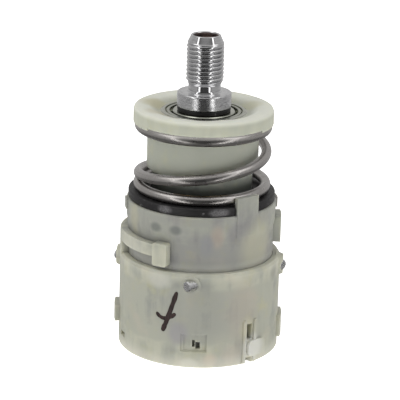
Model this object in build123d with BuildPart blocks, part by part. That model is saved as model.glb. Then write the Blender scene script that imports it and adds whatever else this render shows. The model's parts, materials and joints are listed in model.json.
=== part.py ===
from build123d import *

import math
import os

# Drill-driver gearbox: a two-stage planetary reduction with a sprung torque clutch.
# Z is the spindle axis, z = 0 is the motor face, and every length is in millimetres.
# Azimuths are in degrees round the axis from -Y, positive towards +X.

# Driving dimensions
case_r = 20.7
case_top = 24.8
case_bore_r = 18.8
skirt_r = 18.75
skirt_bore_r = 17.75
skirt_bottom = 13.0
rim_r = 19.15
rim_bottom = 33.3
rim_top = 39.3
roof_bottom = 34.3
neck_r = 14.25
neck_step = 47.5
neck_foot_r = 12.9
neck_bottom = 36.3
flange_r = 17.85
flange_bottom = 59.6
flange_top = 63.2
spring_r = 16.25
wire_r = 1.3
ring_r = 18.8
ring_thick = 2.2
pin_circle_r = 16.3

# Spindle: a 3/8-24 UNF nose, a 10 mm journal and a left-hand M6 screw hole in the end
thread_r = 4.7625
thread_pitch = 25.4 / 24
thread_depth = 0.5
thread_bottom = 69.6
thread_top = 79.4
spindle_top = 81.7
spindle_bottom = 23.0
collar_r = 6.9
collar_bottom = 63.3
collar_top = 67.0
spacer_r = 6.8
relief_r = 4.1
journal_r = 5.0
tail_r = 4.6
tail_flat = 3.6
tail_top = 34.0
screw_hole_r = 2.5
screw_hole_depth = 19.5

# Ball bearing 61900: 10 x 22 x 6 mm
bearing_r = 11.0
bearing_width = 6.0
bearing_top = 62.1
bearing_mid = bearing_top - bearing_width / 2
ball_circle_r = 8.6
ball_r = 1.35
groove_r = 1.4
inner_land_r = 7.95
outer_land_r = 9.3
shield_seat_r = 9.9
shield_seat_depth = 0.9
shield_bore_r = 8.75
shield_thick = 0.25
ball_count = 13

# Gears
module = 0.65
pressure_angle = math.radians(25)
sun_teeth = 12
planet_teeth = 18
ring_teeth = 48
planet_circle_r = module * (sun_teeth + planet_teeth) / 2
ring_tip_r = module * (ring_teeth / 2 - 0.8)
planet_bore_r = 1.65
planet_pin_r = 1.6
planet_turns = (0, 120, 240)
backlash = 0.16

plate_thick = 2.2
ring_1_top = 12.9
planet_1_low = 3.0
planet_1_high = 10.9
carrier_1_low = 11.2
carrier_1_high = 13.6
carrier_r = 14.6
planet_2_low = 14.4
planet_2_high = 22.2
carrier_2_low = 22.6
carrier_2_high = 26.2
teeth_2_top = 22.4
cam_face = 33.0
cam_height = 1.1
cam_count = 15
first_cam_azimuth = -27.5

# Places round the body
tab_azimuths = (38.2, -141.8)
tab_width = 19.8
tab_top = 43.9
foot_azimuths = (98, -82)
clutch_pin_azimuths = [first + 120 * k for k in range(3) for first in (-36, -19)]

# Retaining pins: each end stands at its azimuth and the pin leans round from straight outward
pin_azimuths = (-8.2, 81.8, 171.8, -98.2)
pin_set_backs = (0, 0.5, 0.5, 0.5)
pin_lean = 38
pin_end_r = 22.0
pin_length = 4.3
pin_height = 22.1
retaining_pin_r = 1.4
boss_azimuths = (86, 175, -97)
block_azimuth = -29.2
block_reach = 2.2
boss_r = 3.3
boss_reach = 1.9


def polar(radius, azimuth):
    """The point at this radius and azimuth, seen from above."""
    angle = math.radians(azimuth)
    return (radius * math.sin(angle), -radius * math.cos(angle))


def outward(azimuth, radius, height):
    """A plane facing outward, its x along the rim and its y upward."""
    x, y = polar(radius, azimuth)
    normal = polar(1, azimuth)
    return Plane(
        origin=(x, y, height),
        x_dir=(-normal[1], normal[0], 0),
        z_dir=(normal[0], normal[1], 0),
    )


def along_pin(azimuth, set_back):
    """A plane on the outer end of a retaining pin, facing inward along the pin."""
    x, y = polar(pin_end_r, azimuth)
    outward_x, outward_y = polar(1, azimuth - pin_lean)
    return Plane(
        origin=(x - outward_x * set_back, y - outward_y * set_back, pin_height),
        x_dir=(outward_y, -outward_x, 0),
        z_dir=(-outward_x, -outward_y, 0),
    )


def pin_holes_through(reach):
    """Cut the retaining pins' holes, from outside the case to this far along each pin."""
    for azimuth in pin_azimuths:
        with BuildSketch(along_pin(azimuth, -3)) as hole:
            Circle(retaining_pin_r)
        extrude(hole.sketch, amount=reach + 3, mode=Mode.SUBTRACT)


def tube(outer, inner, low, high, mode=Mode.ADD):
    """A ring, or a disc where inner is 0, added to the part being built."""
    with BuildSketch(Plane.XY.offset(low)) as profile:
        Circle(outer)
        if inner:
            Circle(inner, mode=Mode.SUBTRACT)
    extrude(profile.sketch, amount=high - low, mode=mode)


def sector(outer, inner, low, high, azimuth, width, mode=Mode.ADD):
    """The part of a ring that lies within width degrees centred on an azimuth."""
    reach = 2 * outer
    edge = [polar(reach, azimuth + width * step / 4) for step in (-2, -1, 0, 1, 2)]
    with BuildSketch(Plane.XY.offset(low)) as profile:
        Circle(outer)
        Circle(inner, mode=Mode.SUBTRACT)
        with BuildLine():
            Polyline((0, 0), *edge, close=True)
        make_face(mode=Mode.INTERSECT)
    extrude(profile.sketch, amount=high - low, mode=mode)


def turned(outline, mode=Mode.ADD):
    """A solid of revolution from (radius, height) points."""
    with BuildSketch(Plane.XZ) as profile:
        with BuildLine():
            Polyline(*outline, close=True)
        make_face()
    revolve(profile.sketch, axis=Axis.Z, mode=mode)


def involute(angle):
    return math.tan(angle) - angle


def gear_outline(teeth, tip_r, root_r, extra, turn):
    """Points of a spur gear whose teeth are thicker than nominal by extra.
    A tooth points along +X when turn is 0."""
    pitch_r = module * teeth / 2
    base_r = pitch_r * math.cos(pressure_angle)
    half_pitch = math.pi / (2 * teeth) + extra / (2 * pitch_r) + involute(pressure_angle)
    low_r = max(base_r, root_r)
    flank = []
    for share in (0, 0.3, 0.65, 1):
        radius = low_r + (tip_r - low_r) * share
        flank.append((radius, half_pitch - involute(math.acos(base_r / radius))))
    if root_r < low_r:
        flank.insert(0, (root_r, flank[0][1]))
    points = []
    for tooth in range(teeth):
        middle = 2 * math.pi * tooth / teeth + math.radians(turn)
        rising = [(radius, middle - half) for radius, half in flank]
        falling = [(radius, middle + half) for radius, half in reversed(flank)]
        for radius, angle in rising + falling:
            points.append((radius * math.cos(angle), radius * math.sin(angle)))
    return points


def spur_teeth(teeth, low, high, turn, centre=(0, 0)):
    """An external gear, added to the part being built."""
    pitch_r = module * teeth / 2
    outline = gear_outline(teeth, pitch_r + 0.8 * module, pitch_r - module, -backlash / 2, turn)
    with BuildSketch(Plane.XY.offset(low)) as profile:
        with BuildLine():
            Polyline(*[(x + centre[0], y + centre[1]) for x, y in outline], close=True)
        make_face()
    extrude(profile.sketch, amount=high - low)


def ring_spaces(low, high):
    """Cuts the tooth spaces of a ring gear from the part being built."""
    pitch_r = module * ring_teeth / 2
    outline = gear_outline(ring_teeth, pitch_r + module, ring_tip_r, backlash / 2, 0)
    with BuildSketch(Plane.XY.offset(low)) as profile:
        with BuildLine():
            Polyline(*outline, close=True)
        make_face()
    extrude(profile.sketch, amount=high - low, mode=Mode.SUBTRACT)


def planet_centre(turn):
    angle = math.radians(turn)
    return (planet_circle_r * math.cos(angle), planet_circle_r * math.sin(angle))


def spring_height(turns):
    """Height of the wire's centre after this many turns down from the top dead coil."""
    top = flange_bottom - wire_r - 0.05
    bottom = rim_top + ring_thick + wire_r + 0.02
    if turns <= 0:
        return top
    open_end = 1.0
    open_drop = 12.9
    if turns <= open_end:
        ease = 0.12
        return top - open_drop * (turns - ease * math.sin(2 * math.pi * turns) / (2 * math.pi))
    left = top - open_drop - bottom
    share = min((turns - open_end) / 1.0, 1.0)
    return bottom + left * (1 - share) ** 3


os.makedirs("parts", exist_ok=True)
finished = []


def finish(builder, name):
    builder.part.label = name
    finished.append(name)
    export_step(builder.part, f"parts/{name}.step")


# Motor plate: steel disc that closes the gear case and carries the motor
with BuildPart() as motor_plate:
    tube(case_bore_r - 0.03, 6.5, 0, plate_thick)
    with BuildSketch(Plane.XY):
        with Locations((-12.5, 0), (12.5, 0)):
            Circle(1.6)
    extrude(amount=plate_thick, mode=Mode.SUBTRACT)
finish(motor_plate, "motor_plate")

# Lower gear case: nylon shell with snap windows, lugs, a tall left wall, a rib and a block
with BuildPart() as gear_case_lower:
    turned(
        [
            (case_bore_r, 0),
            (case_r - 0.3, 0),
            (case_r, 0.3),
            (case_r, case_top - 0.7),
            (case_r - 0.5, case_top),
            (case_bore_r, case_top),
        ]
    )
    # bosses round the side and rear retaining pins, and a low pad round the front one
    for azimuth in boss_azimuths:
        with BuildSketch(outward(azimuth, case_r - 1.0, pin_height)) as boss:
            Circle(boss_r)
        extrude(boss.sketch, amount=boss_reach, taper=22)
    with BuildSketch(outward(pin_azimuths[0] + 3, case_r - 1.0, pin_height)) as pad:
        Circle(2.4)
    extrude(pad.sketch, amount=1.25)
    # tall wall on the left, with the rib and the block that end it
    sector(case_r, case_bore_r, case_top - 1.0, 30.6, -100, 44)
    sector(case_r, case_bore_r, 28.3, 31.4, -56, 50)
    with BuildSketch(outward(block_azimuth, case_bore_r, 29.05)) as block:
        RectangleRounded(4.0, 5.9, 0.6)
    extrude(block.sketch, amount=block_reach)
    # lower lugs, left and right
    sector(case_r + 1.25, case_r - 0.5, 6.0, 10.2, -88, 18)
    sector(case_r + 0.95, case_r - 0.5, 3.0, 8.6, 88, 20)
    # front snap window: a frame, a deeper floor and two small holes through it
    sector(case_r + 1, case_r - 0.25, 4.3, 9.1, -2.7, 18.6, Mode.SUBTRACT)
    sector(case_r + 1, case_r - 0.5, 4.6, 8.8, -1.9, 16.2, Mode.SUBTRACT)
    sector(case_r + 1, case_bore_r - 1, 5.5, 7.4, -2.9, 1.9, Mode.SUBTRACT)
    sector(case_r + 1, case_bore_r - 1, 5.0, 6.9, 0.2, 3.2, Mode.SUBTRACT)
    # side snap: two rails, a slot, a pad and a notch in the bottom edge
    for azimuth in (34.6, 43.8):
        sector(case_r + 0.45, case_r - 0.5, 0.3, 11.6, azimuth, 2.2)
    sector(case_r + 1, case_bore_r - 1, 6.5, 10.6, 39.2, 4.4, Mode.SUBTRACT)
    with BuildSketch(outward(45, case_r - 1.5, 4.1)) as snap_pad:
        RectangleRounded(5.6, 4.2, 1.3)
    extrude(snap_pad.sketch, amount=2.3)
    sector(case_r + 1, case_bore_r - 1, -1, 1.6, 38.6, 6.6, Mode.SUBTRACT)
    # short slot low on the left
    sector(case_r + 1, case_bore_r - 1, 3.0, 4.4, -70, 9, Mode.SUBTRACT)
    pin_holes_through(6)
finish(gear_case_lower, "gear_case_lower")

# Upper gear case: nylon, slides into the lower case and holds the lock ring and the neck
with BuildPart() as gear_case_upper:
    turned(
        [
            (skirt_bore_r, skirt_bottom),
            (skirt_r, skirt_bottom),
            (skirt_r, rim_bottom - 0.6),
            (rim_r, rim_bottom + 1.2),
            (rim_r, rim_top - 0.3),
            (rim_r - 0.3, rim_top),
            (neck_foot_r, rim_top),
            (neck_foot_r, neck_bottom),
            (11.6, neck_bottom),
            (11.6, neck_bottom - 0.9),
            (12.9, neck_bottom - 0.9),
            (12.9, 26.6),
            (14.4, 26.6),
            (14.4, roof_bottom),
            (skirt_bore_r, roof_bottom),
        ]
    )
    # lug on the right, over the recessed band
    sector(case_r, skirt_r - 0.6, 28.1, 35.2, 92, 16)
    # tabs that guide the clutch ring, and a small bump on each side of the rim
    for azimuth in tab_azimuths:
        sector(rim_r + 0.15, skirt_bore_r, rim_bottom + 0.5, tab_top, azimuth, tab_width)
    for azimuth in foot_azimuths:
        sector(rim_r + 0.5, rim_r - 0.5, 36.6, 39.2, azimuth, 10)
    # holes for the clutch pins
    with BuildSketch(Plane.XY.offset(roof_bottom)) as pin_holes:
        with Locations(*[polar(pin_circle_r, azimuth) for azimuth in clutch_pin_azimuths]):
            Circle(1.3)
    extrude(pin_holes.sketch, amount=rim_top - roof_bottom, mode=Mode.SUBTRACT)
    pin_holes_through(7)
finish(gear_case_upper, "gear_case_upper")

# Retaining pins: four leaning steel pins that join the two cases
with BuildPart() as retaining_pins:
    for azimuth, set_back in zip(pin_azimuths, pin_set_backs):
        with BuildSketch(along_pin(azimuth, set_back)) as pin:
            Circle(retaining_pin_r)
        extrude(pin.sketch, amount=pin_length - set_back)
    ends = retaining_pins.faces().filter_by(GeomType.PLANE)
    outer = [face for face in ends if math.hypot(face.center().X, face.center().Y) > case_bore_r + 1]
    fillet([edge for face in outer for edge in face.edges()], 0.35)
finish(retaining_pins, "retaining_pins")

# Nose sleeve: nylon neck with the flange that stops the spring and holds the bearing in a dish
with BuildPart() as nose_sleeve:
    turned(
        [
            (11.6, neck_bottom),
            (neck_foot_r, neck_bottom),
            (neck_foot_r, neck_step),
            (neck_r, neck_step),
            (neck_r, flange_bottom),
            (flange_r - 0.3, flange_bottom),
            (flange_r, flange_bottom + 0.3),
            (flange_r, flange_top - 0.9),
            (flange_r - 0.25, flange_top - 0.25),
            (flange_r - 0.9, flange_top),
            (14.0, flange_top - 0.25),
            (11.7, bearing_top - 0.15),
            (bearing_r, bearing_top - 0.15),
            (bearing_r, bearing_top - bearing_width),
            (9.6, bearing_top - bearing_width),
            (9.6, 54.4),
            (7.0, 54.4),
            (7.0, 43.5),
            (9.0, 43.5),
            (9.0, 52.5),
            (12.6, 52.5),
            (12.6, neck_step + 1.2),
            (11.6, neck_step),
        ]
    )
    # shallow lips on both sides of the flange, outside the spring's top turn
    for azimuth in (-90, 94):
        sector(flange_r, spring_r + 1.1, flange_bottom - 0.45, flange_bottom + 1, azimuth, 76)
finish(nose_sleeve, "nose_sleeve")

# Clutch spring: right-hand coil with a dead turn at each end
with BuildPart() as clutch_spring:
    step_count = 48
    first_turn, last_turn = -0.8, 2.15
    spring_points = []
    for step in range(step_count + 1):
        turns = first_turn + (last_turn - first_turn) * step / step_count
        x, y = polar(spring_r, -90 - 360 * turns)
        spring_points.append((x, y, spring_height(turns)))
    with BuildLine() as spring_route:
        Spline(*spring_points)
    with BuildSketch(Plane(spring_route.line @ 0, z_dir=spring_route.line % 0)):
        Circle(wire_r)
    sweep()
finish(clutch_spring, "clutch_spring")

# Clutch ring: blackened steel washer that the spring presses on, notched for the tabs
with BuildPart() as clutch_ring:
    tube(ring_r, neck_foot_r + 0.3, rim_top, rim_top + ring_thick)
    chamfer(clutch_ring.edges().filter_by(GeomType.CIRCLE).group_by(SortBy.RADIUS)[-1], 0.25)
    for azimuth in tab_azimuths:
        sector(
            ring_r + 1,
            skirt_bore_r - 0.15,
            rim_top,
            rim_top + ring_thick,
            azimuth,
            tab_width + 1.8,
            Mode.SUBTRACT,
        )
finish(clutch_ring, "clutch_ring")

# Clutch pins: three pairs between the ring and the cams of the clutch ring gear
with BuildPart() as clutch_pins:
    with BuildSketch(Plane.XY.offset(cam_face + 0.05)):
        with Locations(*[polar(pin_circle_r, azimuth) for azimuth in clutch_pin_azimuths]):
            Circle(1.22)
    extrude(amount=rim_top - cam_face - 0.05)
    fillet(clutch_pins.edges().group_by(Axis.Z)[0], 0.5)
finish(clutch_pins, "clutch_pins")

# Spindle
with BuildPart() as spindle:
    turned(
        [
            (0, spindle_bottom),
            (tail_r - 0.4, spindle_bottom),
            (tail_r, spindle_bottom + 0.4),
            (tail_r, tail_top),
            (journal_r - 0.05, tail_top + 0.35),
            (journal_r - 0.05, 54.85),
            (4.6, 54.85),
            (4.6, 55.95),
            (journal_r, 55.95),
            (journal_r, collar_bottom),
            (collar_r - 0.1, collar_bottom),
            (collar_r, collar_bottom + 0.1),
            (collar_r, collar_top - 0.5),
            (collar_r - 0.5, collar_top),
            (relief_r + 0.5, collar_top),
            (relief_r, collar_top + 0.5),
            (relief_r, thread_bottom - 0.6),
            (thread_r, thread_bottom),
            (thread_r, thread_top),
            (thread_r - 0.5, thread_top + 0.3),
            (3.7, spindle_top),
            (0, spindle_top),
        ]
    )
    groove_count = int((thread_top - thread_bottom - 0.4) / thread_pitch)
    for groove in range(groove_count):
        middle = thread_bottom + 0.5 + (groove + 0.5) * thread_pitch
        half = thread_pitch * 0.4
        turned(
            [
                (thread_r + 0.1, middle - half),
                (thread_r - thread_depth, middle - 0.06),
                (thread_r - thread_depth, middle + 0.06),
                (thread_r + 0.1, middle + half),
            ],
            Mode.SUBTRACT,
        )
    turned(
        [
            (0, spindle_top - screw_hole_depth - 1.2),
            (screw_hole_r, spindle_top - screw_hole_depth),
            (screw_hole_r, spindle_top - 1.1),
            (3.25, spindle_top - 0.6),
            (3.25, spindle_top),
            (0, spindle_top),
        ],
        Mode.SUBTRACT,
    )
    with BuildSketch(Plane.XY.offset(spindle_bottom)) as flats:
        with Locations((0, tail_flat + 2), (0, -tail_flat - 2)):
            Rectangle(4 * tail_r, 4)
    extrude(flats.sketch, amount=10.5, mode=Mode.SUBTRACT)
finish(spindle, "spindle")

# Spacer between the spindle collar and the bearing's inner race
with BuildPart() as spindle_spacer:
    tube(spacer_r, journal_r, bearing_top, collar_bottom)
    fillet(spindle_spacer.edges().filter_by(GeomType.CIRCLE).group_by(SortBy.RADIUS)[-1], 0.4)
finish(spindle_spacer, "spindle_spacer")

# Circlip that holds the bearing on the spindle
with BuildPart() as shaft_circlip:
    tube(6.3, 4.65, 54.9, 55.9)
    sector(8, 3, 54.9, 55.9, 0, 36, Mode.SUBTRACT)
finish(shaft_circlip, "shaft_circlip")

# Ball bearing
bearing_low = bearing_mid - bearing_width / 2
with BuildPart() as bearing_inner_race:
    tube(inner_land_r, journal_r, bearing_low, bearing_top)
    with BuildSketch(Plane.XZ) as ball_groove:
        with Locations((ball_circle_r, bearing_mid)):
            Circle(groove_r)
    revolve(ball_groove.sketch, axis=Axis.Z, mode=Mode.SUBTRACT)
    chamfer(bearing_inner_race.edges().group_by(Axis.Z)[-1].sort_by(SortBy.RADIUS)[-1], 0.2)
finish(bearing_inner_race, "bearing_inner_race")

with BuildPart() as bearing_outer_race:
    tube(bearing_r, outer_land_r, bearing_low, bearing_top)
    with BuildSketch(Plane.XZ) as ball_groove:
        with Locations((ball_circle_r, bearing_mid)):
            Circle(groove_r)
    revolve(ball_groove.sketch, axis=Axis.Z, mode=Mode.SUBTRACT)
    for low in (bearing_low, bearing_top - shield_seat_depth):
        tube(shield_seat_r, outer_land_r - 1, low, low + shield_seat_depth, Mode.SUBTRACT)
    chamfer(bearing_outer_race.edges().group_by(Axis.Z)[-1].sort_by(SortBy.RADIUS)[-1], 0.3)
finish(bearing_outer_race, "bearing_outer_race")

with BuildPart() as bearing_balls:
    with Locations(Location((0, 0, bearing_mid))):
        with PolarLocations(ball_circle_r, ball_count):
            Sphere(ball_r)
finish(bearing_balls, "bearing_balls")

with BuildPart() as bearing_cage:
    tube(ball_circle_r + 0.4, ball_circle_r - 0.4, bearing_mid - 2.0, bearing_mid + 0.8)
    with Locations(Location((0, 0, bearing_mid))):
        with PolarLocations(ball_circle_r, ball_count):
            Sphere(ball_r + 0.05, mode=Mode.SUBTRACT)
finish(bearing_cage, "bearing_cage")

# Shields: pressed rings whose rim is crimped into a seat in the outer race
seat = bearing_width / 2 - shield_seat_depth
face = bearing_width / 2 - 0.1
for shield_name, side in (("bearing_shield_upper", 1), ("bearing_shield_lower", -1)):
    with BuildPart() as bearing_shield:
        turned(
            [
                (radius, bearing_mid + side * height)
                for radius, height in (
                    (shield_seat_r, seat),
                    (shield_seat_r, seat + shield_thick),
                    (9.75, seat + shield_thick),
                    (9.5, face),
                    (shield_bore_r, face),
                    (shield_bore_r, face - shield_thick),
                    (9.4, face - shield_thick),
                    (9.6, seat),
                )
            ]
        )
    finish(bearing_shield, shield_name)

# Sintered bush that steadies the lower end of the journal
with BuildPart() as spindle_bush:
    tube(7.0, journal_r, 44.0, 52.0)
finish(spindle_bush, "spindle_bush")

# Stage 1: fixed ring gear, planets and carrier, driven by the motor's pinion
with BuildPart() as ring_gear_1:
    tube(case_bore_r - 0.05, ring_tip_r - 0.4, plate_thick, ring_1_top)
    ring_spaces(plate_thick, ring_1_top)
finish(ring_gear_1, "ring_gear_1")

with BuildPart() as thrust_washer_1:
    tube(10.8, 6.6, plate_thick, plate_thick + 0.5)
finish(thrust_washer_1, "thrust_washer_1")

# Stage 2: the clutch's ring gear, which carries the cams on its top face
with BuildPart() as clutch_ring_gear:
    tube(skirt_bore_r - 0.1, ring_tip_r - 0.1, ring_1_top, cam_face)
    ring_spaces(ring_1_top, teeth_2_top)
    for cam in range(cam_count):
        azimuth = first_cam_azimuth + 360 * cam / cam_count
        sector(17.4, 15.25, cam_face - 0.5, cam_face + cam_height, azimuth, 7)
finish(clutch_ring_gear, "clutch_ring_gear")

stages = (
    ("1", planet_1_low, planet_1_high),
    ("2", planet_2_low, planet_2_high),
)
for stage, low, high in stages:
    for letter, turn in zip("abc", planet_turns):
        centre = planet_centre(turn)
        with BuildPart() as planet:
            spur_teeth(planet_teeth, low, high, turn, centre)
            with BuildSketch(Plane.XY.offset(low)) as bore:
                with Locations(centre):
                    Circle(planet_bore_r)
            extrude(bore.sketch, amount=high - low, mode=Mode.SUBTRACT)
        finish(planet, f"planet_{stage}{letter}")

# Carrier 1 with the sun of stage 2 in one piece
sun_turn = 180 / sun_teeth
with BuildPart() as carrier_1:
    tube(carrier_r, 0, carrier_1_low, carrier_1_high)
    spur_teeth(sun_teeth, carrier_1_high - 0.2, planet_2_high - 0.2, sun_turn)
    with BuildSketch(Plane.XY.offset(carrier_1_low)) as sockets:
        with Locations(*[planet_centre(turn) for turn in planet_turns]):
            Circle(planet_pin_r)
    extrude(sockets.sketch, amount=carrier_1_high - carrier_1_low, mode=Mode.SUBTRACT)
finish(carrier_1, "carrier_1")

with BuildPart() as thrust_washer_2:
    tube(14.0, 5.0, carrier_1_high, carrier_1_high + 0.5)
finish(thrust_washer_2, "thrust_washer_2")

# Output carrier: its claws reach up between the lock rollers and turn the cam
with BuildPart() as output_carrier:
    tube(carrier_r, tail_r + 0.1, carrier_2_low, carrier_2_high)
    for claw in range(6):
        sector(10.35, 8.0, carrier_2_high - 0.2, 31.6, 60 * claw + 30, 22)
    with BuildSketch(Plane.XY.offset(carrier_2_high)) as cam_room:
        RegularPolygon(7.95, 6, major_radius=False)
    extrude(cam_room.sketch, amount=6, mode=Mode.SUBTRACT)
    with BuildSketch(Plane.XY.offset(carrier_2_low)) as sockets:
        with Locations(*[planet_centre(turn) for turn in planet_turns]):
            Circle(planet_pin_r)
    extrude(sockets.sketch, amount=2.6, mode=Mode.SUBTRACT)
finish(output_carrier, "output_carrier")

pin_stages = (
    ("planet_pins_1", planet_1_low, carrier_1_high),
    ("planet_pins_2", carrier_1_high + 0.65, carrier_2_low + 2.6),
)
for pins_name, low, high in pin_stages:
    with BuildPart() as planet_pins:
        with BuildSketch(Plane.XY.offset(low)):
            with Locations(*[planet_centre(turn) for turn in planet_turns]):
                Circle(planet_pin_r)
        extrude(amount=high - low)
    finish(planet_pins, pins_name)

# Spindle lock: a hexagonal cam on the spindle's flats, six rollers and a fixed ring
with BuildPart() as lock_cam:
    with BuildSketch(Plane.XY.offset(26.4)):
        RegularPolygon(7.9, 6, major_radius=False)
        Circle(tail_r, mode=Mode.SUBTRACT)
    extrude(amount=5.4)
    with BuildSketch(Plane.XY.offset(26.4)) as flats:
        with Locations((0, tail_flat + 1.0), (0, -tail_flat - 1.0)):
            Rectangle(2 * tail_r, 1.9)
    extrude(flats.sketch, amount=5.4)
finish(lock_cam, "lock_cam")

with BuildPart() as lock_rollers:
    with BuildSketch(Plane.XY.offset(26.5)):
        with PolarLocations(9.25, 6, start_angle=30):
            Circle(1.28)
    extrude(amount=5.2)
finish(lock_rollers, "lock_rollers")

with BuildPart() as lock_ring:
    tube(12.9, 10.6, 26.8, 32.4)
finish(lock_ring, "lock_ring")

print(len(finished), "nodes:", ", ".join(finished))
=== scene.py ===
import json
import math

import bpy
from mathutils import Matrix, Vector


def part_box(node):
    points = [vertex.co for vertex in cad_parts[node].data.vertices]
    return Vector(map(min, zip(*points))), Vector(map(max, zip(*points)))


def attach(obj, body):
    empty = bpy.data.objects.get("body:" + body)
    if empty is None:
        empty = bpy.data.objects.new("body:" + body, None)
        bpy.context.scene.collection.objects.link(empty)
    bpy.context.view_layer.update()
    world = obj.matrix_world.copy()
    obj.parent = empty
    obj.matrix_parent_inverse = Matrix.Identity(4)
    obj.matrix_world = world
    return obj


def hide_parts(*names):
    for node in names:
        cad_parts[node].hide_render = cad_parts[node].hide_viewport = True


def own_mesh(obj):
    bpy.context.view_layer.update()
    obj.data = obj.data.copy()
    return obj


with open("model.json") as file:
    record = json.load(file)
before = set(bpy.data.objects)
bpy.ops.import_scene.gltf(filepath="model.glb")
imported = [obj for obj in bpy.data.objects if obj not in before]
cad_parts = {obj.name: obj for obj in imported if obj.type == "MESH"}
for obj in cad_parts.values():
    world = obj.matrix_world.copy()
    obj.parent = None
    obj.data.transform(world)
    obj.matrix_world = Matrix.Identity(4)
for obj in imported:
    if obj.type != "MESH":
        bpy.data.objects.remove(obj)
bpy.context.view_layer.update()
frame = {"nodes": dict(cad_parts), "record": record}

MM = 0.001
DEGREE = math.radians(1)

# Driving dimensions in millimetres and degrees, the same as in the CAD
CASE_R = 20.7
CASE_BORE_R = 18.8
RING_R = 18.8
RING_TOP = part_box("clutch_ring")[1].z / MM
FLANGE_UNDERSIDE = 59.6
WIRE_R = 1.3
SPRING_R = 16.25
SPINDLE_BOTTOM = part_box("spindle")[0].z / MM
SPINDLE_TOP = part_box("spindle")[1].z / MM
JOURNAL_R = 5.0
COLLAR_R = 6.9
COLLAR_BOTTOM = 63.3
COLLAR_TOP = 67.0
THREAD_R = 4.7625
THREAD_PITCH = 25.4 / 24
CLUTCH_PIN_AZIMUTHS = [first + 120 * k for k in range(3) for first in (-36, -19)]

# Threads, creases and marks that only the finer pieces have
THREAD_DEPTH = 0.62
SCREW_THREAD_R = 2.95
SCREW_THREAD_PITCH = 1.0
SCREW_THREAD_DEPTH = 0.42
RUBBED_AZIMUTHS = (-29, 12, 16, 96, 190)
MOULDED_CREASE = 35 * DEGREE
TURNED_CREASE = 33 * DEGREE
WIRE_CREASE = 50 * DEGREE


def clamp(value):
    return min(max(value, 0.0), 1.0)


# ---------------------------------------------------------------- node helpers
class Nodes:
    """A node tree, with short ways to add and join nodes."""

    def __init__(self, tree):
        self.tree = tree

    def add(self, kind, **settings):
        node = self.tree.nodes.new(kind)
        for key, value in settings.items():
            setattr(node, key, value)
        return node

    def put(self, socket, value):
        if isinstance(value, bpy.types.NodeSocket):
            self.tree.links.new(value, socket)
        else:
            socket.default_value = value

    def math(self, operation, a, b=0.0):
        node = self.add("ShaderNodeMath", operation=operation)
        self.put(node.inputs[0], a)
        self.put(node.inputs[1], b)
        return node.outputs[0]

    def ramp(self, value, low, high, out_low=0.0, out_high=1.0):
        """A smooth step from out_low to out_high while the value goes from low to high."""
        node = self.add("ShaderNodeMapRange", interpolation_type="SMOOTHSTEP")
        for key, setting in (
            ("Value", value),
            ("From Min", low),
            ("From Max", high),
            ("To Min", out_low),
            ("To Max", out_high),
        ):
            self.put(node.inputs[key], setting)
        return node.outputs[0]

    def mix(self, share, a, b, kind="RGBA"):
        node = self.add("ShaderNodeMix", data_type=kind)
        self.put(node.inputs["Factor"], share)
        self.put(node.inputs["A"], a)
        self.put(node.inputs["B"], b)
        return node.outputs["Result"]

    def split(self, vector):
        node = self.add("ShaderNodeSeparateXYZ")
        self.put(node.inputs[0], vector)
        return node.outputs


class Graph(Nodes):
    """A material with its node tree; lengths in it are in metres."""

    def __init__(self, name):
        self.material = bpy.data.materials.new(name)
        self.material.use_nodes = True
        super().__init__(self.material.node_tree)
        self.shader = self.tree.nodes["Principled BSDF"]
        self.place = self.add("ShaderNodeTexCoord").outputs["Object"]

    def noise(self, size, detail=3.0, rough=0.5, stretch=(1, 1, 1), vector=None, shift=0.0):
        """Noise whose features are about size metres across, longer along a stretched axis."""
        mapping = self.add("ShaderNodeMapping")
        self.put(mapping.inputs["Vector"], vector or self.place)
        mapping.inputs["Scale"].default_value = [1 / (size * along) for along in stretch]
        mapping.inputs["Location"].default_value = (shift, shift * 0.7, shift * 1.3)
        node = self.add("ShaderNodeTexNoise")
        self.put(node.inputs["Vector"], mapping.outputs["Vector"])
        node.inputs["Scale"].default_value = 1.0
        node.inputs["Detail"].default_value = detail
        node.inputs["Roughness"].default_value = rough
        return node.outputs["Fac"]

    def height(self):
        return self.split(self.place)["Z"]

    def turned_place(self):
        """Coordinates of the lathe: (radius, height), the same all round the axis."""
        x, y, z = self.split(self.place)
        squares = self.math("ADD", self.math("MULTIPLY", x, x), self.math("MULTIPLY", y, y))
        joined = self.add("ShaderNodeCombineXYZ")
        self.put(joined.inputs["X"], self.math("SQRT", squares))
        self.put(joined.inputs["Z"], z)
        return joined.outputs[0]

    def near_point(self, centre, radius, stretch_up=1.0):
        """1 close to a point, falling smoothly to 0 at radius metres from it."""
        offset = self.add("ShaderNodeVectorMath", operation="SUBTRACT")
        self.put(offset.inputs[0], self.place)
        offset.inputs[1].default_value = centre
        scaled = self.add("ShaderNodeVectorMath", operation="MULTIPLY")
        self.put(scaled.inputs[0], offset.outputs["Vector"])
        scaled.inputs[1].default_value = (1, 1, 1 / stretch_up)
        away = self.add("ShaderNodeVectorMath", operation="LENGTH")
        self.put(away.inputs[0], scaled.outputs["Vector"])
        return self.ramp(away.outputs["Value"], radius * 0.35, radius, 1.0, 0.0)

    def bump(self, *layers):
        """Each layer is (height value, depth in metres)."""
        normal = None
        for value, depth in layers:
            node = self.add("ShaderNodeBump")
            node.inputs["Distance"].default_value = depth
            node.inputs["Strength"].default_value = 1.0
            self.put(node.inputs["Height"], value)
            if normal is not None:
                self.put(node.inputs["Normal"], normal)
            normal = node.outputs["Normal"]
        self.put(self.shader.inputs["Normal"], normal)

    def finish(self, color, roughness, **fixed):
        self.put(self.shader.inputs["Base Color"], color)
        self.put(self.shader.inputs["Roughness"], roughness)
        for key, value in fixed.items():
            self.shader.inputs[key.replace("_", " ")].default_value = value
        return self.material


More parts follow.
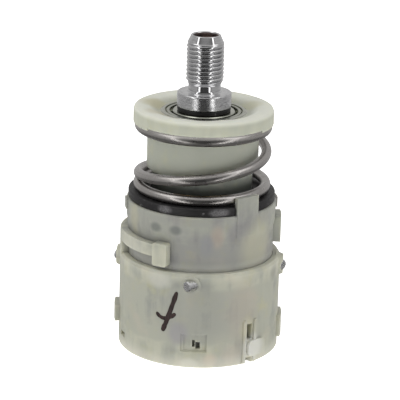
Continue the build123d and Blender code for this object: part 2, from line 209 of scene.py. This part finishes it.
# ---------------------------------------------------------------- materials
def round_axis(radius, azimuth, height):
    """A point in the frame, from millimetres and degrees round from the front to the right."""
    angle = azimuth * DEGREE
    return (radius * math.sin(angle) * MM, -radius * math.cos(angle) * MM, height * MM)


def nylon(name, light, dark, bands=(), stains_and_painted_light=(), seed=0.0, blotch=0.5):
    """Milky natural nylon. bands are (low, high, share) heights toned darker: on the cases where
    steel behind the wall greys it, and on the nose's neck as painted shade. The patches are real
    stains and painted light and shade, as the two patch helpers below give them."""
    g = Graph(name)
    cloud = g.noise(8 * MM, 4, 0.55, shift=seed)
    streak = g.noise(3.2 * MM, 3, 0.5, stretch=(1, 1, 7), shift=seed + 21)
    clouded = g.ramp(cloud, 0.38, 0.66, 0.0, blotch)
    streaked = g.ramp(streak, 0.42, 0.66, 0.0, blotch * 0.8)
    share = g.math("ADD", clouded, streaked)
    wander = g.math("SUBTRACT", g.noise(6 * MM, 2, shift=seed + 4), 0.5)
    level = g.math("ADD", g.height(), g.math("MULTIPLY", wander, 1.6 * MM))
    soft = 1.0 * MM
    for low, high, amount in bands:
        above = g.ramp(level, low - soft, low + soft)
        below = g.ramp(level, high - soft, high + soft, 1.0, 0.0)
        inside = g.math("MULTIPLY", above, below)
        share = g.math("MAXIMUM", share, g.math("MULTIPLY", inside, amount))
    color = g.mix(share, light, dark)
    yellow = [light[0] * 0.96, light[1] * 0.92, light[2] * 0.66, 1]
    aged = g.ramp(g.noise(5 * MM, 5, 0.6, shift=seed + 9), 0.52, 0.76, 0.0, 0.45)
    color = g.mix(aged, color, yellow)
    pink = [light[0], light[1] * 0.9, light[2] * 0.9, 1]
    flushed = g.ramp(g.noise(6 * MM, 3, 0.5, shift=seed + 15), 0.55, 0.78, 0.0, 0.4)
    color = g.mix(flushed, color, pink)
    for centre, radius, stretch_up, tone, amount in stains_and_painted_light:
        near = g.near_point(centre, radius, stretch_up)
        color = g.mix(g.math("MULTIPLY", near, amount), color, tone)
    g.bump(
        (g.noise(0.25 * MM, 2), 0.004 * MM),
        (g.noise(3.0 * MM, 2, shift=2.0), 0.06 * MM),
    )
    rough = g.ramp(g.noise(2 * MM, 4, 0.6, shift=seed + 1), 0.3, 0.7, 0.34, 0.5)
    return g.finish(
        color,
        rough,
        Subsurface_Weight=0.4,
        Subsurface_Radius=(1.0, 0.95, 0.75),
        Subsurface_Scale=2.2 * MM,
        IOR=1.53,
        Specular_IOR_Level=0.45,
    )


def steel(name, light, dark, smooth, rough, grain, depth=0.004 * MM):
    """Turned or ground steel: fine rings round the spindle axis, with darker handling marks.
    smooth and rough are the ends of its roughness."""
    g = Graph(name)
    lathe = g.turned_place()
    rings = g.noise(grain, 3, 0.6, vector=lathe)
    wide = g.noise(grain * 7, 2, 0.5, vector=lathe, shift=3.0)
    smear = g.noise(1.6 * MM, 5, 0.65)
    share = g.math("ADD", g.ramp(wide, 0.3, 0.7, 0.0, 0.35), g.ramp(smear, 0.5, 0.75, 0.0, 0.5))
    color = g.mix(share, light, dark)
    g.bump((rings, depth), (g.noise(0.5 * MM, 3), depth * 0.5))
    gloss = g.ramp(g.math("ADD", rings, smear), 0.6, 1.4, smooth, rough)
    return g.finish(color, gloss, Metallic=1.0)


def drawn_wire():
    """Spring wire: faint streaks along the wire, read from the piece's own wire coordinates."""
    g = Graph("drawn_wire")
    place = g.add("ShaderNodeAttribute", attribute_name="wire").outputs["Vector"]
    streaks = g.noise(1.0, 3, 0.5, stretch=(14, 0.35, 1), vector=place)
    scale = g.noise(2.6 * MM, 4, 0.55)
    share = g.math("ADD", g.ramp(streaks, 0.4, 0.7, 0.0, 0.3), g.ramp(scale, 0.5, 0.75, 0.0, 0.35))
    color = g.mix(share, (0.49, 0.47, 0.455, 1), (0.29, 0.277, 0.268, 1))
    g.bump((scale, 0.01 * MM))
    rough = g.ramp(scale, 0.35, 0.7, 0.26, 0.34)
    return g.finish(color, rough, Metallic=1.0)


def black_oxide():
    """Blackened ring: nearly black, with worn specks and rubbed patches on its upper edge."""
    g = Graph("black_oxide")
    patch = g.noise(2.4 * MM, 6, 0.7, stretch=(1, 1, 0.45))
    fine = g.noise(0.45 * MM, 4, 0.7, shift=5.0)
    worn = g.math("MULTIPLY", g.ramp(patch, 0.58, 0.7), g.ramp(fine, 0.42, 0.6))
    for azimuth in RUBBED_AZIMUTHS:
        rubbed = g.near_point(round_axis(RING_R, azimuth, RING_TOP - 1.0), 2.6 * MM, 0.5)
        mottled = g.math("MULTIPLY", rubbed, g.ramp(fine, 0.25, 0.8, 0.2, 0.9))
        worn = g.math("MAXIMUM", worn, mottled)
    color = g.mix(worn, (0.038, 0.037, 0.038, 1), (0.3, 0.295, 0.3, 1))
    g.bump((fine, 0.012 * MM))
    rough = g.ramp(fine, 0.3, 0.7, 0.36, 0.52)
    return g.finish(color, rough, Metallic=0.7)


def sintered(name, light, dark):
    """Pressed and sintered metal, porous and oily."""
    g = Graph(name)
    pores = g.noise(0.35 * MM, 5, 0.7)
    film = g.noise(4 * MM, 3, 0.5, shift=7.0)
    color = g.mix(g.ramp(pores, 0.45, 0.7), light, dark)
    g.bump((pores, 0.02 * MM))
    return g.finish(color, g.ramp(film, 0.3, 0.7, 0.3, 0.5), Metallic=0.9)


def brushed_collar():
    """The spindle's collar and shank: coarse turning rings that spread the light up and down."""
    g = Graph("brushed_collar")
    lathe = g.turned_place()
    rings = g.noise(0.12 * MM, 3, 0.7, vector=lathe)
    scuff = g.noise(0.5 * MM, 4, 0.7, stretch=(2.5, 2.5, 0.6))
    color = g.mix(g.ramp(scuff, 0.35, 0.7), (0.78, 0.78, 0.79, 1), (0.42, 0.42, 0.43, 1))
    g.bump((rings, 0.012 * MM), (scuff, 0.012 * MM))
    return g.finish(color, g.ramp(scuff, 0.3, 0.7, 0.2, 0.32), Metallic=1.0)


def greased_bore():
    """The screw hole's thread, dark with old thread locker and grease."""
    g = Graph("greased_bore")
    film = g.noise(0.8 * MM, 4, 0.6)
    color = g.mix(g.ramp(film, 0.4, 0.7), (0.035, 0.022, 0.02, 1), (0.12, 0.08, 0.07, 1))
    g.bump((film, 0.02 * MM))
    return g.finish(color, g.ramp(film, 0.3, 0.7, 0.35, 0.6), Metallic=0.4)


def marker_ink():
    """Dried marker ink, paler along its dry streaks."""
    g = Graph("marker_ink")
    streaks = g.noise(0.5 * MM, 4, 0.6, stretch=(0.5, 1, 3))
    color = g.mix(g.ramp(streaks, 0.4, 0.75), (0.018, 0.009, 0.008, 1), (0.055, 0.028, 0.024, 1))
    g.bump((streaks, 0.004 * MM))
    return g.finish(color, g.ramp(streaks, 0.3, 0.7, 0.45, 0.6))


def stain_or_painted_light(radius, azimuth, height, size, stretch_up, color, share):
    """A soft patch on a wall, used for real stains and for painted light and shade. radius, height
    and size are in millimetres; share is how far the nylon takes its colour."""
    return (round_axis(radius, azimuth, height), size * MM, stretch_up, (*color, 1), share)


def level_stain_or_painted_light(height, size, stretch_up, color, share):
    """A patch centred on the axis, used for painted light and shade and for plain tone: squeezed
    flat, it tones one height all the way round.
    """
    return stain_or_painted_light(0, 0, height, size, stretch_up, color, share)


upper_stains_and_painted_light = [
    # painted shadows of the clutch pins behind the wall
    *[stain_or_painted_light(19.2, pin, 35.6, 2.3, 0.72, (0.12, 0.13, 0.125), 0.65) for pin in CLUTCH_PIN_AZIMUTHS],
    # brown, grey and yellowed patches in and above the recessed band
    stain_or_painted_light(CASE_BORE_R, 13, 34.2, 2.6, 1.6, (0.38, 0.31, 0.24), 0.5),
    stain_or_painted_light(CASE_BORE_R, 5, 32.0, 2.6, 1.6, (0.235, 0.24, 0.25), 0.6),
    stain_or_painted_light(CASE_BORE_R, 50, 30.0, 8.0, 1.2, (0.40, 0.39, 0.29), 0.6),
    stain_or_painted_light(CASE_BORE_R, -62, 36.0, 3.0, 2.0, (0.42, 0.40, 0.28), 0.5),
    # painted light: a paler lower edge, lifting the shade where it meets the lower case, and a paler
    # right lug, lifting its shaded side
    level_stain_or_painted_light(25.2, 30, 0.1, (0.46, 0.46, 0.42), 0.7),
    stain_or_painted_light(CASE_R + 1.5, 92, 32.0, 8.0, 1.0, (0.42, 0.43, 0.37), 0.7),
]
nose_stains_and_painted_light = [
    # painted light and shade: a painted highlight on the top of the flange, greenish painted shade
    # in the dish round the bearing, and painted shade on the foot of the neck
    level_stain_or_painted_light(63.9, 36, 0.065, (0.80, 0.81, 0.73), 1.0),
    level_stain_or_painted_light(62.0, 13.9, 1.0, (0.36, 0.38, 0.27), 0.8),
    level_stain_or_painted_light(42.4, 34, 0.15, (0.115, 0.125, 0.11), 1.0),
    # yellow tones beside the bearing
    stain_or_painted_light(12.8, -105, 62.6, 5.0, 1.0, (0.52, 0.49, 0.31), 0.75),
    stain_or_painted_light(12.8, -65, 62.6, 4.4, 1.0, (0.54, 0.50, 0.34), 0.6),
    stain_or_painted_light(12.6, 110, 62.6, 4.4, 1.0, (0.54, 0.53, 0.36), 0.6),
]
lower_stains_and_painted_light = [
    # the dark gears behind the front wall
    stain_or_painted_light(CASE_R, 0, 15.0, 15, 0.8, (0.25, 0.255, 0.235), 0.45),
    # painted shade in the slot at the right; a smudge beside the ink; a pale wall at the upper left
    stain_or_painted_light(CASE_R - 1, 66, 22.0, 3.0, 1.0, (0.24, 0.24, 0.21), 0.7),
    stain_or_painted_light(CASE_R, -14, 9.0, 3.6, 1.2, (0.27, 0.26, 0.28), 0.6),
    stain_or_painted_light(CASE_R, -30, 22.5, 5.0, 0.6, (0.50, 0.50, 0.44), 0.6),
    # brown and pale patches along the bottom, and a brown one above them
    stain_or_painted_light(CASE_R, 25, 3.0, 4.0, 1.0, (0.46, 0.40, 0.34), 0.4),
    stain_or_painted_light(CASE_R, 9, 2.0, 2.6, 1.0, (0.50, 0.40, 0.32), 0.45),
    stain_or_painted_light(CASE_R, -6, 1.0, 3.4, 0.6, (0.56, 0.56, 0.5), 0.7),
    stain_or_painted_light(CASE_R, 33, 14.0, 6.0, 2.0, (0.37, 0.33, 0.28), 0.45),
    # pale bottom edge; painted light on the shaded side of the right lugs and along the top edge
    # under the upper case; tall left wall
    level_stain_or_painted_light(0, 34, 0.15, (0.64, 0.63, 0.55), 0.8),
    stain_or_painted_light(CASE_R + 1.5, 88, 6.0, 8.0, 1.0, (0.52, 0.52, 0.44), 0.5),
    level_stain_or_painted_light(24.6, 34, 0.1, (0.58, 0.58, 0.49), 0.4),
    stain_or_painted_light(CASE_R, -62, 31.0, 9, 1.0, (0.58, 0.57, 0.49), 0.35),
    # painted light on the snap finger and the pad below it, lifting their shade
    stain_or_painted_light(CASE_R - 2, 37, 9.5, 3.6, 1.3, (0.52, 0.51, 0.36), 0.8),
    stain_or_painted_light(CASE_R + 0.8, 42, 4.4, 4.4, 1.0, (0.60, 0.60, 0.56), 0.8),
]

materials = {
    "nylon_nose": nylon(
        "nylon_nose",
        light=(0.45, 0.46, 0.375, 1),
        dark=(0.26, 0.275, 0.245, 1),
        # the bands are painted shade on the neck: full among the coils, half under the flange
        bands=((36 * MM, 47.3 * MM, 1.0), (47.3 * MM, 58.8 * MM, 0.5)),
        stains_and_painted_light=nose_stains_and_painted_light,
        seed=1.0,
        blotch=0.2,
    ),
    "nylon_upper": nylon(
        "nylon_upper",
        light=(0.315, 0.322, 0.278, 1),
        dark=(0.195, 0.192, 0.196, 1),
        bands=((24 * MM, 32.6 * MM, 0.5), (36.8 * MM, 39 * MM, 0.2)),
        stains_and_painted_light=upper_stains_and_painted_light,
        seed=2.0,
    ),
    "nylon_lower": nylon(
        "nylon_lower",
        light=(0.44, 0.44, 0.355, 1),
        dark=(0.25, 0.26, 0.235, 1),
        bands=((6 * MM, 21 * MM, 0.45),),
        stains_and_painted_light=lower_stains_and_painted_light,
        seed=3.0,
    ),
    "spring_steel": drawn_wire(),
    "black_steel": black_oxide(),
    "turned_steel": steel(
        "turned_steel",
        light=(0.74, 0.74, 0.75, 1),
        dark=(0.4, 0.4, 0.41, 1),
        smooth=0.05,
        rough=0.12,
        grain=0.1 * MM,
        depth=0.002 * MM,
    ),
    "bearing_steel": steel(
        "bearing_steel",
        light=(0.56, 0.57, 0.50, 1),
        dark=(0.36, 0.37, 0.31, 1),
        smooth=0.14,
        rough=0.28,
        grain=0.15 * MM,
    ),
    "sheet_steel": steel(
        "sheet_steel",
        light=(0.50, 0.51, 0.44, 1),
        dark=(0.30, 0.31, 0.26, 1),
        smooth=0.2,
        rough=0.36,
        grain=0.2 * MM,
    ),
    "pin_steel": steel(
        "pin_steel",
        light=(0.82, 0.82, 0.83, 1),
        dark=(0.3, 0.3, 0.3, 1),
        smooth=0.2,
        rough=0.36,
        grain=0.25 * MM,
        depth=0.02 * MM,
    ),
    "gear_steel": sintered("gear_steel", (0.34, 0.34, 0.35, 1), (0.12, 0.12, 0.12, 1)),
    "sintered_bronze": sintered("sintered_bronze", (0.5, 0.36, 0.2, 1), (0.25, 0.16, 0.08, 1)),
}
slot_of = {row["node"]: row["material_slot"] for row in frame["record"]["subparts"]}
for node, cad_object in frame["nodes"].items():
    cad_object.material_slots[0].material = materials[slot_of[node]]


# ---------------------------------------------------------------- pieces
def stand_in(piece, node, body):
    """The piece takes the CAD node's place and body, and the CAD node is hidden."""
    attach(piece, body)
    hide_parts(node)
    return piece


def new_piece(name, vertices, faces, material):
    mesh = bpy.data.meshes.new(name)
    mesh.from_pydata(vertices, [], faces)
    mesh.materials.append(material)
    mesh.shade_smooth()
    piece = bpy.data.objects.new(name, mesh)
    bpy.context.scene.collection.objects.link(piece)
    return piece


def softened(node, body, width, name):
    """A copy of a CAD node with its edges rounded by width metres."""
    source = frame["nodes"][node]
    mesh = source.data.copy()
    piece = bpy.data.objects.new(name, mesh)
    bpy.context.scene.collection.objects.link(piece)
    bpy.context.view_layer.objects.active = piece
    piece.select_set(True)
    bpy.ops.mesh.customdata_custom_splitnormals_clear()
    piece.select_set(False)
    weld = piece.modifiers.new("weld", "WELD")
    weld.merge_threshold = 0.002 * MM
    flat = piece.modifiers.new("flat", "DECIMATE")
    flat.decimate_type = "DISSOLVE"
    flat.angle_limit = 0.5 * DEGREE
    edge = piece.modifiers.new("edge", "BEVEL")
    edge.width = width
    edge.segments = 3
    edge.limit_method = "ANGLE"
    edge.angle_limit = MOULDED_CREASE
    graph = bpy.context.evaluated_depsgraph_get()
    baked = bpy.data.meshes.new_from_object(piece.evaluated_get(graph), depsgraph=graph)
    piece.modifiers.clear()
    piece.data = baked
    baked.name = name
    baked.shade_smooth()
    baked.set_sharp_from_angle(angle=MOULDED_CREASE)
    return stand_in(piece, node, body)


softened("gear_case_lower", "housing", 0.38 * MM, "lower_case_shell")
softened("gear_case_upper", "housing", 0.3 * MM, "upper_case_shell")
nose_shell = softened("nose_sleeve", "housing", 0.35 * MM, "nose_shell")
# the steel beside the flange reflects the studio, not the flange
nose_shell.visible_glossy = False
softened("clutch_ring", "clutch", 0.12 * MM, "pressure_ring")


def lathe_grid(name, rows, material, around=128):
    """A closed surface of revolution. Each row is a function of the angle that gives
    (radius, height); the first and last rows close onto the axis."""
    vertices, faces = [], []
    for row in rows:
        for step in range(around):
            angle = 2 * math.pi * step / around
            radius, height = row(angle)
            vertices.append((radius * math.cos(angle), radius * math.sin(angle), height))
    for index in range(len(rows) - 1):
        for step in range(around):
            right = (step + 1) % around
            low, high = index * around, (index + 1) * around
            faces.append((low + step, low + right, high + right, high + step))
    faces.append(tuple(reversed(range(around))))
    last = (len(rows) - 1) * around
    faces.append(tuple(last + step for step in range(around)))
    piece = new_piece(name, vertices, faces, material)
    piece.data.set_sharp_from_angle(angle=TURNED_CREASE)
    return piece


def plain(radius, height):
    """A round row, from millimetres."""
    return lambda angle: (radius * MM, height * MM)


def turned_rows(outline):
    """Rows through (radius, height) points, with a close row on both sides of each corner
    of a long step, so that the wall between the corners shades straight."""
    short_step, close = 0.3, 0.06
    rows = [plain(*outline[0])]
    for (r0, z0), (r1, z1) in zip(outline, outline[1:]):
        length = math.hypot(r1 - r0, z1 - z0)
        shares = [1.0] if length < short_step else [close / length, 1 - close / length, 1.0]
        for share in shares:
            rows.append(plain(r0 + (r1 - r0) * share, z0 + (z1 - z0) * share))
    return rows


def thread_row(radius, depth, pitch, height, fade, hand=1):
    """A row across a helical thread with wide, rounded crests and narrow roots. fade is 0
    where the groove runs out, and hand is -1 for a left-hand thread."""
    root_half, flank = 0.1, 0.66

    def row(angle):
        phase = (height / pitch - hand * angle / (2 * math.pi)) % 1.0
        from_root = abs(phase - 0.5) * 2
        rise = clamp((from_root - root_half) / flank)
        return ((radius - depth * fade * (1 - rise) ** 2) * MM, height * MM)

    return row


def build_spindle():
    """Spindle with its real helical chuck thread and the left-hand thread in its mouth."""
    tail_r, tail_top = 4.6, 34.0
    shank_r = JOURNAL_R - 0.05
    groove_r, groove_low, groove_high = 4.6, 54.85, 55.95
    relief_r, relief_top = 4.1, 69.0
    rows = turned_rows(
        [
            (0.05, SPINDLE_BOTTOM),
            (tail_r - 0.4, SPINDLE_BOTTOM),
            (tail_r, SPINDLE_BOTTOM + 0.4),
            (tail_r, tail_top),
            (shank_r, tail_top + 0.35),
            (shank_r, groove_low),
            (groove_r, groove_low),
            (groove_r, groove_high),
            (JOURNAL_R, groove_high),
            (JOURNAL_R, COLLAR_BOTTOM),
            (COLLAR_R - 0.12, COLLAR_BOTTOM),
            (COLLAR_R - 0.03, COLLAR_BOTTOM + 0.05),
            (COLLAR_R, COLLAR_BOTTOM + 0.15),
            (COLLAR_R, COLLAR_TOP - 0.35),
            (COLLAR_R - 0.08, COLLAR_TOP - 0.14),
            (COLLAR_R - 0.22, COLLAR_TOP - 0.03),
            (COLLAR_R - 0.4, COLLAR_TOP),
            (relief_r + 0.5, COLLAR_TOP),
            (relief_r + 0.15, COLLAR_TOP + 0.12),
            (relief_r, COLLAR_TOP + 0.45),
            (relief_r, relief_top),
            (relief_r + 0.1, relief_top + 0.2),
        ]
    )

    # chuck thread, which grows out of the relief and tapers a little under the nose
    low, high, row_gap = 69.35, SPINDLE_TOP - 1.95, 0.04
    run_in, run_out = 0.9, 1.1
    count = int((high - low) / row_gap)
    for index in range(count + 1):
        height = low + (high - low) * index / count
        start = clamp((height - low) / run_in)
        end = clamp((high - height) / run_out)
        radius = THREAD_R - 0.5 * (1 - start) - 0.12 * (1 - end)
        fade = min(start, end) ** 0.6
        rows.append(thread_row(radius, THREAD_DEPTH, THREAD_PITCH, height, fade))

    # nose and the rounded rim of the screw hole
    mouth_r = 3.2
    rows += turned_rows(
        [
            (4.5, SPINDLE_TOP - 1.75),
            (3.78, SPINDLE_TOP - 0.15),
            (3.74, SPINDLE_TOP - 0.07),
            (3.66, SPINDLE_TOP - 0.02),
            (3.56, SPINDLE_TOP),
            (3.44, SPINDLE_TOP - 0.01),
            (3.33, SPINDLE_TOP - 0.05),
            (3.25, SPINDLE_TOP - 0.12),
            (mouth_r, SPINDLE_TOP - 0.22),
            (SCREW_THREAD_R, SPINDLE_TOP - 0.6),
        ]
    )

    # thread in the screw hole, then its plain bore down to the drill point
    screw_rows, screw_row_gap, fade_rows = 90, 0.07, 8
    for index in range(screw_rows):
        height = SPINDLE_TOP - 0.7 - screw_row_gap * index
        fade = min(index / fade_rows, (screw_rows - 1 - index) / fade_rows, 1.0)
        rows.append(
            thread_row(SCREW_THREAD_R, SCREW_THREAD_DEPTH, SCREW_THREAD_PITCH, height, fade, hand=-1)
        )
    bore_r, bore_top, bore_bottom, drill_point = 2.5, 74.5, 63.0, 61.8
    rows += [plain(bore_r, bore_top), plain(bore_r, bore_bottom), plain(0.05, drill_point)]

    piece = lathe_grid("threaded_spindle", rows, materials["turned_steel"])
    piece.data.materials.append(greased_bore())
    piece.data.materials.append(brushed_collar())
    greased, brushed = 1, 2
    for face in piece.data.polygons:
        height = face.center.z / MM
        in_hole = math.hypot(face.center.x, face.center.y) < (mouth_r + 0.02) * MM
        if in_hole and height > COLLAR_BOTTOM - 2:
            face.material_index = greased
        elif height < COLLAR_TOP - 0.02:
            face.material_index = brushed
    return piece


stand_in(build_spindle(), "spindle", "spindle")


def spring_height(turns):
    """Height of the wire's centre, in millimetres, this many turns below the top dead coil:
    flat at the top, one open turn, then easing onto the ring in the next turn."""
    top = FLANGE_UNDERSIDE - WIRE_R - 0.05
    bottom = RING_TOP + WIRE_R + 0.02
    open_drop, ease = 12.9, 0.12
    if turns <= 0:
        return top
    if turns <= 1:
        return top - open_drop * (turns - ease * math.sin(2 * math.pi * turns) / (2 * math.pi))
    return bottom + (top - open_drop - bottom) * (1 - min(turns - 1, 1.0)) ** 3


def build_spring():
    """Coil spring as a swept tube; its wire attribute holds (length along, place round, 0)."""
    first_turn, last_turn = -0.8, 2.15
    steps, around = 300, 24
    end_rounding = (0.86, 0.94, 0.985, 1.0)
    small = 0.002
    step_turn = (last_turn - first_turn) / steps
    vertices, wire = [], []
    for index in range(steps + 1):
        turns = first_turn + step_turn * index
        angle = (-90 - 360 * turns) * DEGREE
        radial = (math.sin(angle), -math.cos(angle))
        rise = (spring_height(turns + small) - spring_height(turns - small)) / (2 * small)
        slope = math.atan2(rise, 2 * math.pi * SPRING_R)
        from_end = min(index, steps - index)
        radius = WIRE_R * end_rounding[min(from_end, 3)]
        for turn in range(around):
            phi = 2 * math.pi * turn / around
            out, up = math.cos(phi) * radius, math.sin(phi) * radius
            along = -math.sin(slope) * up
            reach = SPRING_R + out
            x = radial[0] * reach - math.cos(angle) * along
            y = radial[1] * reach - math.sin(angle) * along
            z = spring_height(turns) + up * math.cos(slope)
            vertices.append((x * MM, y * MM, z * MM))
            wire.append((turns * 2 * math.pi * SPRING_R, 2 * WIRE_R * math.sin(phi / 2), 0))
    faces = []
    for index in range(steps):
        for turn in range(around):
            side = (turn + 1) % around
            low, high = index * around, (index + 1) * around
            faces.append((low + turn, high + turn, high + side, low + side))
    faces.append(tuple(range(around)))
    faces.append(tuple(steps * around + turn for turn in reversed(range(around))))
    piece = new_piece("coil_spring", vertices, faces, materials["spring_steel"])
    attribute = piece.data.attributes.new("wire", "FLOAT_VECTOR", "POINT")
    for item, value in zip(attribute.data, wire):
        item.vector = value
    piece.data.set_sharp_from_angle(angle=WIRE_CREASE)
    return piece


spring = stand_in(build_spring(), "clutch_spring", "housing")
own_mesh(spring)


def along_route(route, share):
    """The point at this share of a smooth line through the route's points."""
    at = share * (len(route) - 1)
    low = min(int(at), len(route) - 2)
    part = at - low
    before, after = route[max(low - 1, 0)], route[min(low + 2, len(route) - 1)]
    point = []
    for p0, p1, p2, p3 in zip(before, route[low], route[low + 1], after):
        bend = (p2 - p0) * part + (2 * p0 - 5 * p1 + 4 * p2 - p3) * part**2
        bend += (3 * p1 - p0 - 3 * p2 + p3) * part**3
        point.append(p1 + bend / 2)
    return point


def ink_stroke(name, route, width, ink):
    """A stroke of ink on the lower case. route is (azimuth, height in mm) points on its line."""
    columns, rows = 40, 5
    film = 0.03
    end_share = 1 / 6
    arc = DEGREE * CASE_R
    line = [along_route(route, index / columns) for index in range(columns + 1)]
    vertices, faces = [], []
    for index, (azimuth, height) in enumerate(line):
        ahead = line[min(index + 1, columns)]
        behind = line[max(index - 1, 0)]
        across = (ahead[0] - behind[0]) * arc, ahead[1] - behind[1]
        length = math.hypot(*across)
        normal = (-across[1] / length, across[0] / length)
        share = index / columns
        to_end = min(share, 1 - share) / end_share
        round_end = math.sqrt(max(0.0, 1 - max(0, 1 - to_end) ** 2))
        wobble = 1 + 0.08 * math.sin(17 * share) + 0.05 * math.sin(41 * share + 1)
        half = max(width * round_end * wobble / 2, 0.02)
        for row in range(rows):
            side = (row / (rows - 1) * 2 - 1) * half
            at = azimuth + normal[0] * side / arc
            up = height + normal[1] * side
            vertices.append(round_axis(CASE_R + film, at, up))
    for index in range(columns):
        for row in range(rows - 1):
            low, high = index * rows + row, (index + 1) * rows + row
            faces.append((low, high, high + 1, low + 1))
    piece = new_piece(name, vertices, faces, ink)
    depth = piece.modifiers.new("film", "SOLIDIFY")
    depth.thickness = film * MM
    depth.offset = -1
    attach(piece, "housing")


tick_ink = marker_ink()
long_route = [(-15.3, 20.1), (-18.2, 16.7), (-21.6, 12.9), (-24.0, 10.6), (-25.6, 9.0)]
cross_route = [(-30.7, 13.8), (-27.5, 12.8), (-23.3, 12.6), (-19.0, 13.3), (-16.0, 14.3)]
ink_stroke("ink_tick_long", long_route, 1.2, tick_ink)
ink_stroke("ink_tick_cross", cross_route, 1.0, tick_ink)


# ---------------------------------------------------------------- stage, light and camera
def build_floor():
    """A bright matt sheet, a hair below the gearbox so that their faces don't mix."""
    half, drop = 4.0, 0.02 * MM
    mesh = bpy.data.meshes.new("floor")
    corners = [(-half, -half), (half, -half), (half, half), (-half, half)]
    mesh.from_pydata([(x, y, -drop) for x, y in corners], [], [(0, 1, 2, 3)])
    floor = bpy.data.objects.new("floor", mesh)
    bpy.context.scene.collection.objects.link(floor)
    g = Graph("floor_white")
    color = g.mix(g.noise(0.4, 2), (0.86, 0.86, 0.86, 1), (0.9, 0.9, 0.9, 1))
    glow = {"Emission_Color": (1, 1, 1, 1), "Emission_Strength": 0.8}
    mesh.materials.append(g.finish(color, 0.9, Specular_IOR_Level=0.0, **glow))
    floor.visible_glossy = False


# The studio's edges, each as the two ends of a smooth step. The first group is in degrees
# round from the front, the second in the upward part of the direction, -1 to 1.
FRONT_EDGE = (30, 36)
STRIP_INNER_EDGE = (36, 40)
STRIP_OUTER_EDGE = (46, 51)
STRIP_LEAN = 27  # how far a strip moves outward for each unit up
SIDE_EDGE = (48, 60)
BACK_EDGE = (105, 150)
SOFTBOX_FRONT_EDGE = (50, 62)
SOFTBOX_BACK_EDGE = (88, 102)

FOOT_GLOW_EDGE = (-0.9, -0.45)
STRIP_FOOT_EDGE = (-0.75, -0.5)
SIDE_FOOT_EDGE = (-0.55, -0.15)
CEILING_EDGE = (0.45, 0.7)

FRONT_LIGHT, FOOT_GLOW = 0.06, 0.12
STRIP_LIGHT = 2.4
SIDE_LIGHT, SIDE_FOOT_SHARE = 0.44, 0.25
BACK_LIGHT = 0.1
CEILING_LIGHT, CEILING_GLOW = 1.2, 0.5


def build_world():
    """A studio seen in gloss: two tall bright strips ahead, left and right, that fade low
    down, a dark gap between them where the camera stands, a faint glow from below, grey
    sides, and two softboxes in a dim ceiling."""
    world = bpy.data.worlds.new("studio")
    bpy.context.scene.world = world
    world.use_nodes = True
    g = Nodes(world.node_tree)
    background = g.tree.nodes["Background"]
    x, y, z = g.split(g.add("ShaderNodeTexCoord").outputs["Generated"])

    def round_edge(angle, edge, before, after):
        return g.ramp(angle, edge[0] * DEGREE, edge[1] * DEGREE, before, after)

    def level_edge(edge, below, above):
        return g.ramp(z, *edge, below, above)

    azimuth = g.math("ABSOLUTE", g.math("ARCTAN2", x, g.math("MULTIPLY", y, -1.0)))
    leaned = g.math("SUBTRACT", azimuth, g.math("MULTIPLY", z, STRIP_LEAN * DEGREE))

    front = round_edge(leaned, FRONT_EDGE, FRONT_LIGHT, 0.0)
    front = g.math("ADD", front, level_edge(FOOT_GLOW_EDGE, FOOT_GLOW, 0.0))
    strip = round_edge(leaned, STRIP_INNER_EDGE, 0.0, STRIP_LIGHT)
    strip = g.math("MULTIPLY", strip, round_edge(leaned, STRIP_OUTER_EDGE, 1.0, 0.0))
    strip = g.math("MULTIPLY", strip, level_edge(STRIP_FOOT_EDGE, 0.0, 1.0))
    sides = round_edge(leaned, SIDE_EDGE, 0.0, SIDE_LIGHT)
    sides = g.math("MULTIPLY", sides, level_edge(SIDE_FOOT_EDGE, SIDE_FOOT_SHARE, 1.0))
    back = round_edge(azimuth, BACK_EDGE, 0.0, BACK_LIGHT)
    walls = g.math("ADD", g.math("ADD", front, strip), g.math("ADD", sides, back))

    softbox = round_edge(azimuth, SOFTBOX_FRONT_EDGE, 0.0, CEILING_LIGHT)
    softbox = g.math("MULTIPLY", softbox, round_edge(azimuth, SOFTBOX_BACK_EDGE, 1.0, 0.0))
    overhead = g.math("ADD", softbox, CEILING_GLOW)
    strength = g.mix(level_edge(CEILING_EDGE, 0.0, 1.0), walls, overhead, kind="FLOAT")
    background.inputs["Color"].default_value = (1, 0.995, 0.985, 1)
    g.put(background.inputs["Strength"], strength)


def area_light(name, place, aim, size, power):
    """A square light that aims at a point, seen neither directly nor in gloss."""
    lamp = bpy.data.lights.new(name, "AREA")
    lamp.shape = "RECTANGLE"
    lamp.size, lamp.size_y = size, size
    lamp.energy = power
    lamp_object = bpy.data.objects.new(name, lamp)
    lamp_object.location = place
    direction = Vector(aim) - lamp_object.location
    lamp_object.rotation_euler = direction.to_track_quat("-Z", "Y").to_euler()
    lamp_object.visible_camera = False
    lamp_object.visible_glossy = False
    bpy.context.scene.collection.objects.link(lamp_object)


def build_camera():
    """Half a metre away, a little above, and leaning slightly."""
    distance, height = 0.510, 0.1965
    pitch, roll = 17.25 * DEGREE, 1.6 * DEGREE
    data = bpy.data.cameras.new("camera")
    data.sensor_width = 36.0
    data.lens = 187.0
    data.shift_x = -0.0035
    camera = bpy.data.objects.new("camera", data)
    turn = Matrix.Rotation(90 * DEGREE - pitch, 4, "X") @ Matrix.Rotation(roll, 4, "Z")
    camera.matrix_world = Matrix.Translation((0, -distance, height)) @ turn
    bpy.context.scene.collection.objects.link(camera)
    bpy.context.scene.camera = camera


build_floor()
build_world()
middle = (0, 0, 0.04)
area_light("key_top", place=(-0.25, -0.35, 0.75), aim=middle, size=0.5, power=1.8)
area_light("fill_right", place=(0.6, -0.2, 0.35), aim=middle, size=1.0, power=0.6)
build_camera()
bpy.context.scene.view_settings.view_transform = "Standard"
